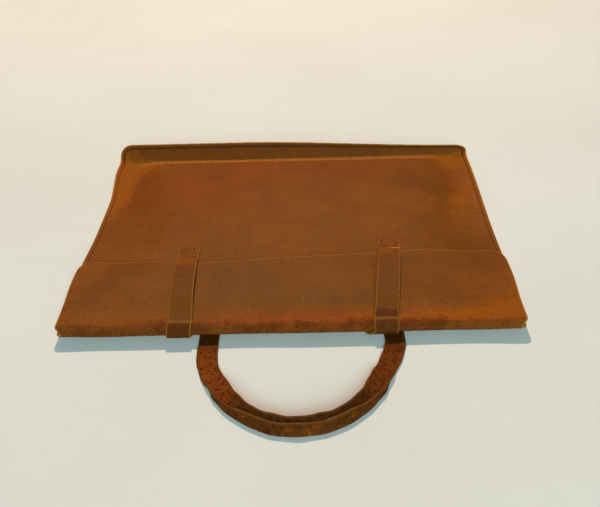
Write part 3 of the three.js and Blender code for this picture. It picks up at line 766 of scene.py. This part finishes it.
# legs paler where worn; round the bow the strip darkens, painted shade on its face under the outer leaf
legTone, bowShadeTone = np.array(leatherTone(134, 68, 27)), np.array(leatherTone(98, 54, 22))
tone = legTone + (bowShadeTone - legTone) * smooth(0.45, 0.95, turn)[..., None]
shaded = smooth(12, 3, np.minimum(even, even[-1] - even))[:, None]
tone = np.broadcast_to(tone, across.shape + (3,)) * (1 - 0.35 * shaded[..., None])
tone = tone * (1.12 - 0.36 * smooth(0.2, 0.85, even / even[-1])[:, None, None])
marks = {
    "tone": tone, "wearAndLight": 0.35 * (1 - turn) + 0.15 + 0 * across, "grimeAndShade": 0.5 + 0 * across,
    "scuffAndHighlight": 0 * across, "wrinkle": 0.6 + 0 * across, "place": place,
}
strip = closedSheet("handle_strip", grid, handle["leather"], marks, handleMaterial)
swing = toFrame([[0, handle["axisY"] + 1.5, 0], [0, handle["axisY"] - 4, 0]])
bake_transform(strip)
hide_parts("handle_strap")

# outer leaf: its foot lies under the strip and its side stands up against the strip's edge
stripOut = (width[:, None] / 2) * np.cos(tilt) + halfLeather * np.sin(tilt)
standOff = handle["wrapGap"] + handle["wrapLeather"] / 2 + 0.8
inside = stripOut - 0.8 + standOff * smooth(0.02, 0.25, leaf)
tall = handle["wrapHeight"] * leaf + handle["lowLeaf"] * (1 - leaf)
ragged = 0.35 * np.sin(even / 6.1)[:, None] + 0.2 * np.sin(even / 3.3 + 1)[:, None]
low = handle["wrapLeather"] / 2
bendR = handle["bendRadius"]
arc = np.linspace(0, math.pi / 2, 6)
foot = np.linspace(-handle["wrapFoot"], -bendR, 5)[:-1]
outward = np.concatenate([
    inside + foot[None, :],
    inside - bendR + bendR * np.sin(arc)[None, :],
    inside + np.linspace(0.15, 1, 8)[None, :] ** 0.8 * -handle["lean"] * leaf,
], 1)
height = np.concatenate([
    np.full((len(even), len(foot)), low),
    np.broadcast_to(low + bendR - bendR * np.cos(arc)[None, :], (len(even), len(arc))),
    low + bendR + (tall + ragged - low - bendR) * np.linspace(0.15, 1, 8)[None, :],
], 1)
keep = np.where(leaf[:, 0] > 0.002)[0]
grid = placed(outward, height)[keep]
around = np.concatenate([foot - 2, arc * bendR, np.linspace(2, 14, 8)])
place = np.stack(np.broadcast_arrays(even[keep, None], around[None, :], 90.0), -1) * mm
spread = np.broadcast_to(turn[keep], grid.shape[:2])
topLine = np.broadcast_to(smooth(11, 14, around)[None, :], grid.shape[:2])
spots = sum(spot(even[keep, None] / even[-1], around[None, :], at, high, 0.009, 2.4)
            for at, high in handle["spots"])
marks = {
    "tone": np.zeros(grid.shape) + leatherTone(104, 58, 28), "wearAndLight": 0.4 + 0.1 * topLine + spots,
    "grimeAndShade": 0.45 + 0 * spread, "scuffAndHighlight": 0.35 * topLine, "wrinkle": 1.0 + 0 * spread, "place": place,
}
wrap = closedSheet("handle_outer_leaf", grid, handle["wrapLeather"], marks, handleMaterial,
                   flesh=(0.6, 0))
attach(wrap, "handle")
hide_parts("handle_wrap")

# tabs under the back, and their stitches on its inside
for side in ("left", "right"):
    axisX = handle["legs"][side]
    length = handle["tabLength"]
    v = np.concatenate([[0, 1], np.linspace(3, length - 6, 12), length - np.array([4, 2, 1, 0])])
    vv, uu = np.meshgrid(v, u * handle["legWidth"] / 2, indexing="ij")
    taper = 1 - 0.4 * smooth(length - 6, length, vv)
    grid = np.stack([axisX + uu * taper, handle["axisY"] + 0.6 + vv, uu * 0 + 1.15], -1)
    flat = np.stack([uu, vv, uu * 0 + 120], -1) * mm
    shaded = np.zeros(grid.shape) + leatherTone(84, 46, 22)
    marks = {"tone": shaded, "wearAndLight": 0.3 + 0 * uu, "grimeAndShade": 0.4 + 0 * uu, "scuffAndHighlight": 0 * uu,
             "wrinkle": 0.5 + 0 * uu, "place": flat}
    tab = closedSheet(f"handle_tab_leather_{side}", grid, handle["tabLeather"], marks, handleMaterial)
    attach(tab, "case")
    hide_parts(f"handle_tab_{side}")
    low, high = nodeBox(f"tab_thread_{side}")
    corners = np.array([[low[0], low[1]], [high[0], low[1]], [high[0], high[1]], [low[0], high[1]],
                        [low[0], low[1]]])
    ring = np.concatenate([np.linspace(a, b, 7)[:-1] for a, b in zip(corners, corners[1:])])
    insideBack = case["nearLift"] + case["backLeather"] + 0.1
    ring = np.concatenate([ring - [0, nearLine], np.full((len(ring), 1), insideBack)], 1)
    sewn = stitchRun(f"tab_stitches_{side}", ring, ring * 0 + [0, 0, 1], strap["pitch"], thread,
                     closed=True)
    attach(sewn, "case")
    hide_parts(f"tab_thread_{side}")
print("handle made")

floorLook = {
    "size": 4000.0, "points": 9, "drop": -0.0002,
    "tone": (0.80, 0.775, 0.72), "mark": (0.76, 0.73, 0.67),
}


def makeFloor():
    n = floorLook["points"]
    steps = np.linspace(-floorLook["size"], floorLook["size"], n)
    yy, xx = np.meshgrid(steps, steps, indexing="ij")
    ids = np.arange(n * n).reshape(n, n)
    quads = np.stack([ids[:-1, :-1], ids[:-1, 1:], ids[1:, 1:], ids[1:, :-1]], -1).reshape(-1, 4)
    bench = Bench("pale_floor")
    place = bench.put("TexCoord").outputs["Object"]
    cloud = bench.noise(place, 3.0, 5.0)
    colour = bench.mix(bench.ramp(cloud, 0.35, 0.75), floorLook["tone"], floorLook["mark"])
    bench.set(bench.shader.inputs["Base Color"], colour)
    bench.shader.inputs["Roughness"].default_value = 0.9
    bench.shader.inputs["Specular IOR Level"].default_value = 0.1
    points = np.stack([xx, yy, xx * 0], -1).reshape(-1, 3)
    floor = makeObject("floor", points, quads.tolist(), {}, bench.material)
    floor.location.z = floorLook["drop"]


makeFloor()

light = {  # places in metres
    "key": {"from": (-0.15, 2.0, 2.55), "power": 78.0, "tone": (1.0, 0.75, 0.59), "size": 0.13},
    "fill": {"from": (0.45, -4.6, 2.6), "power": 232.0, "tone": (0.63, 0.92, 0.98), "size": 3.0},
    "sky": (0.12, 0.15, 0.15),
}


def makeLights():
    for name in ("key", "fill"):
        look = light[name]
        lamp = bpy.data.lights.new(name, "AREA")
        lamp.shape, lamp.size = "DISK", look["size"]
        lamp.energy, lamp.color = look["power"], look["tone"]
        obj = bpy.data.objects.new(name, lamp)
        obj.location = look["from"]
        x, y, z = look["from"]
        obj.rotation_euler = (math.atan2(math.hypot(x, y), z), 0, math.atan2(-y, -x) - math.pi / 2)
        bpy.context.scene.collection.objects.link(obj)
    world = bpy.data.worlds.new("studio")
    world.use_nodes = True
    world.node_tree.nodes["Background"].inputs[0].default_value = (*light["sky"], 1)
    bpy.context.scene.world = world


makeLights()

camera = {  # place from the near line, angles in radians
    "place": (18.2, -420.7, 398.2), "lens": 41.375,
    "pitch": 0.6333, "yaw": 0.0190, "roll": -0.03228,
}


def makeCamera():
    data = bpy.data.cameras.new("camera")
    data.lens, data.sensor_width = camera["lens"], 36
    pitch, yaw, roll = camera["pitch"], camera["yaw"], camera["roll"]
    right = np.array([math.cos(yaw), math.sin(yaw), 0])
    level = np.array([-math.sin(yaw), math.cos(yaw), 0])
    forward = math.cos(pitch) * level - math.sin(pitch) * np.array([0, 0, 1])
    up = math.sin(pitch) * level + math.cos(pitch) * np.array([0, 0, 1])
    turnedRight = math.cos(roll) * right + math.sin(roll) * up
    turnedUp = math.cos(roll) * up - math.sin(roll) * right
    matrix = Matrix.Identity(4)
    for column, axis in enumerate((turnedRight, turnedUp, -forward)):
        for row in range(3):
            matrix[row][column] = axis[row]
    place = toFrame(camera["place"])
    for row in range(3):
        matrix[row][3] = place[row]
    eye = bpy.data.objects.new("camera", data)
    eye.matrix_world = matrix
    bpy.context.scene.collection.objects.link(eye)
    bpy.context.scene.camera = eye


makeCamera()
bpy.context.scene.view_settings.view_transform = "Standard"
print("floor, light and camera made")
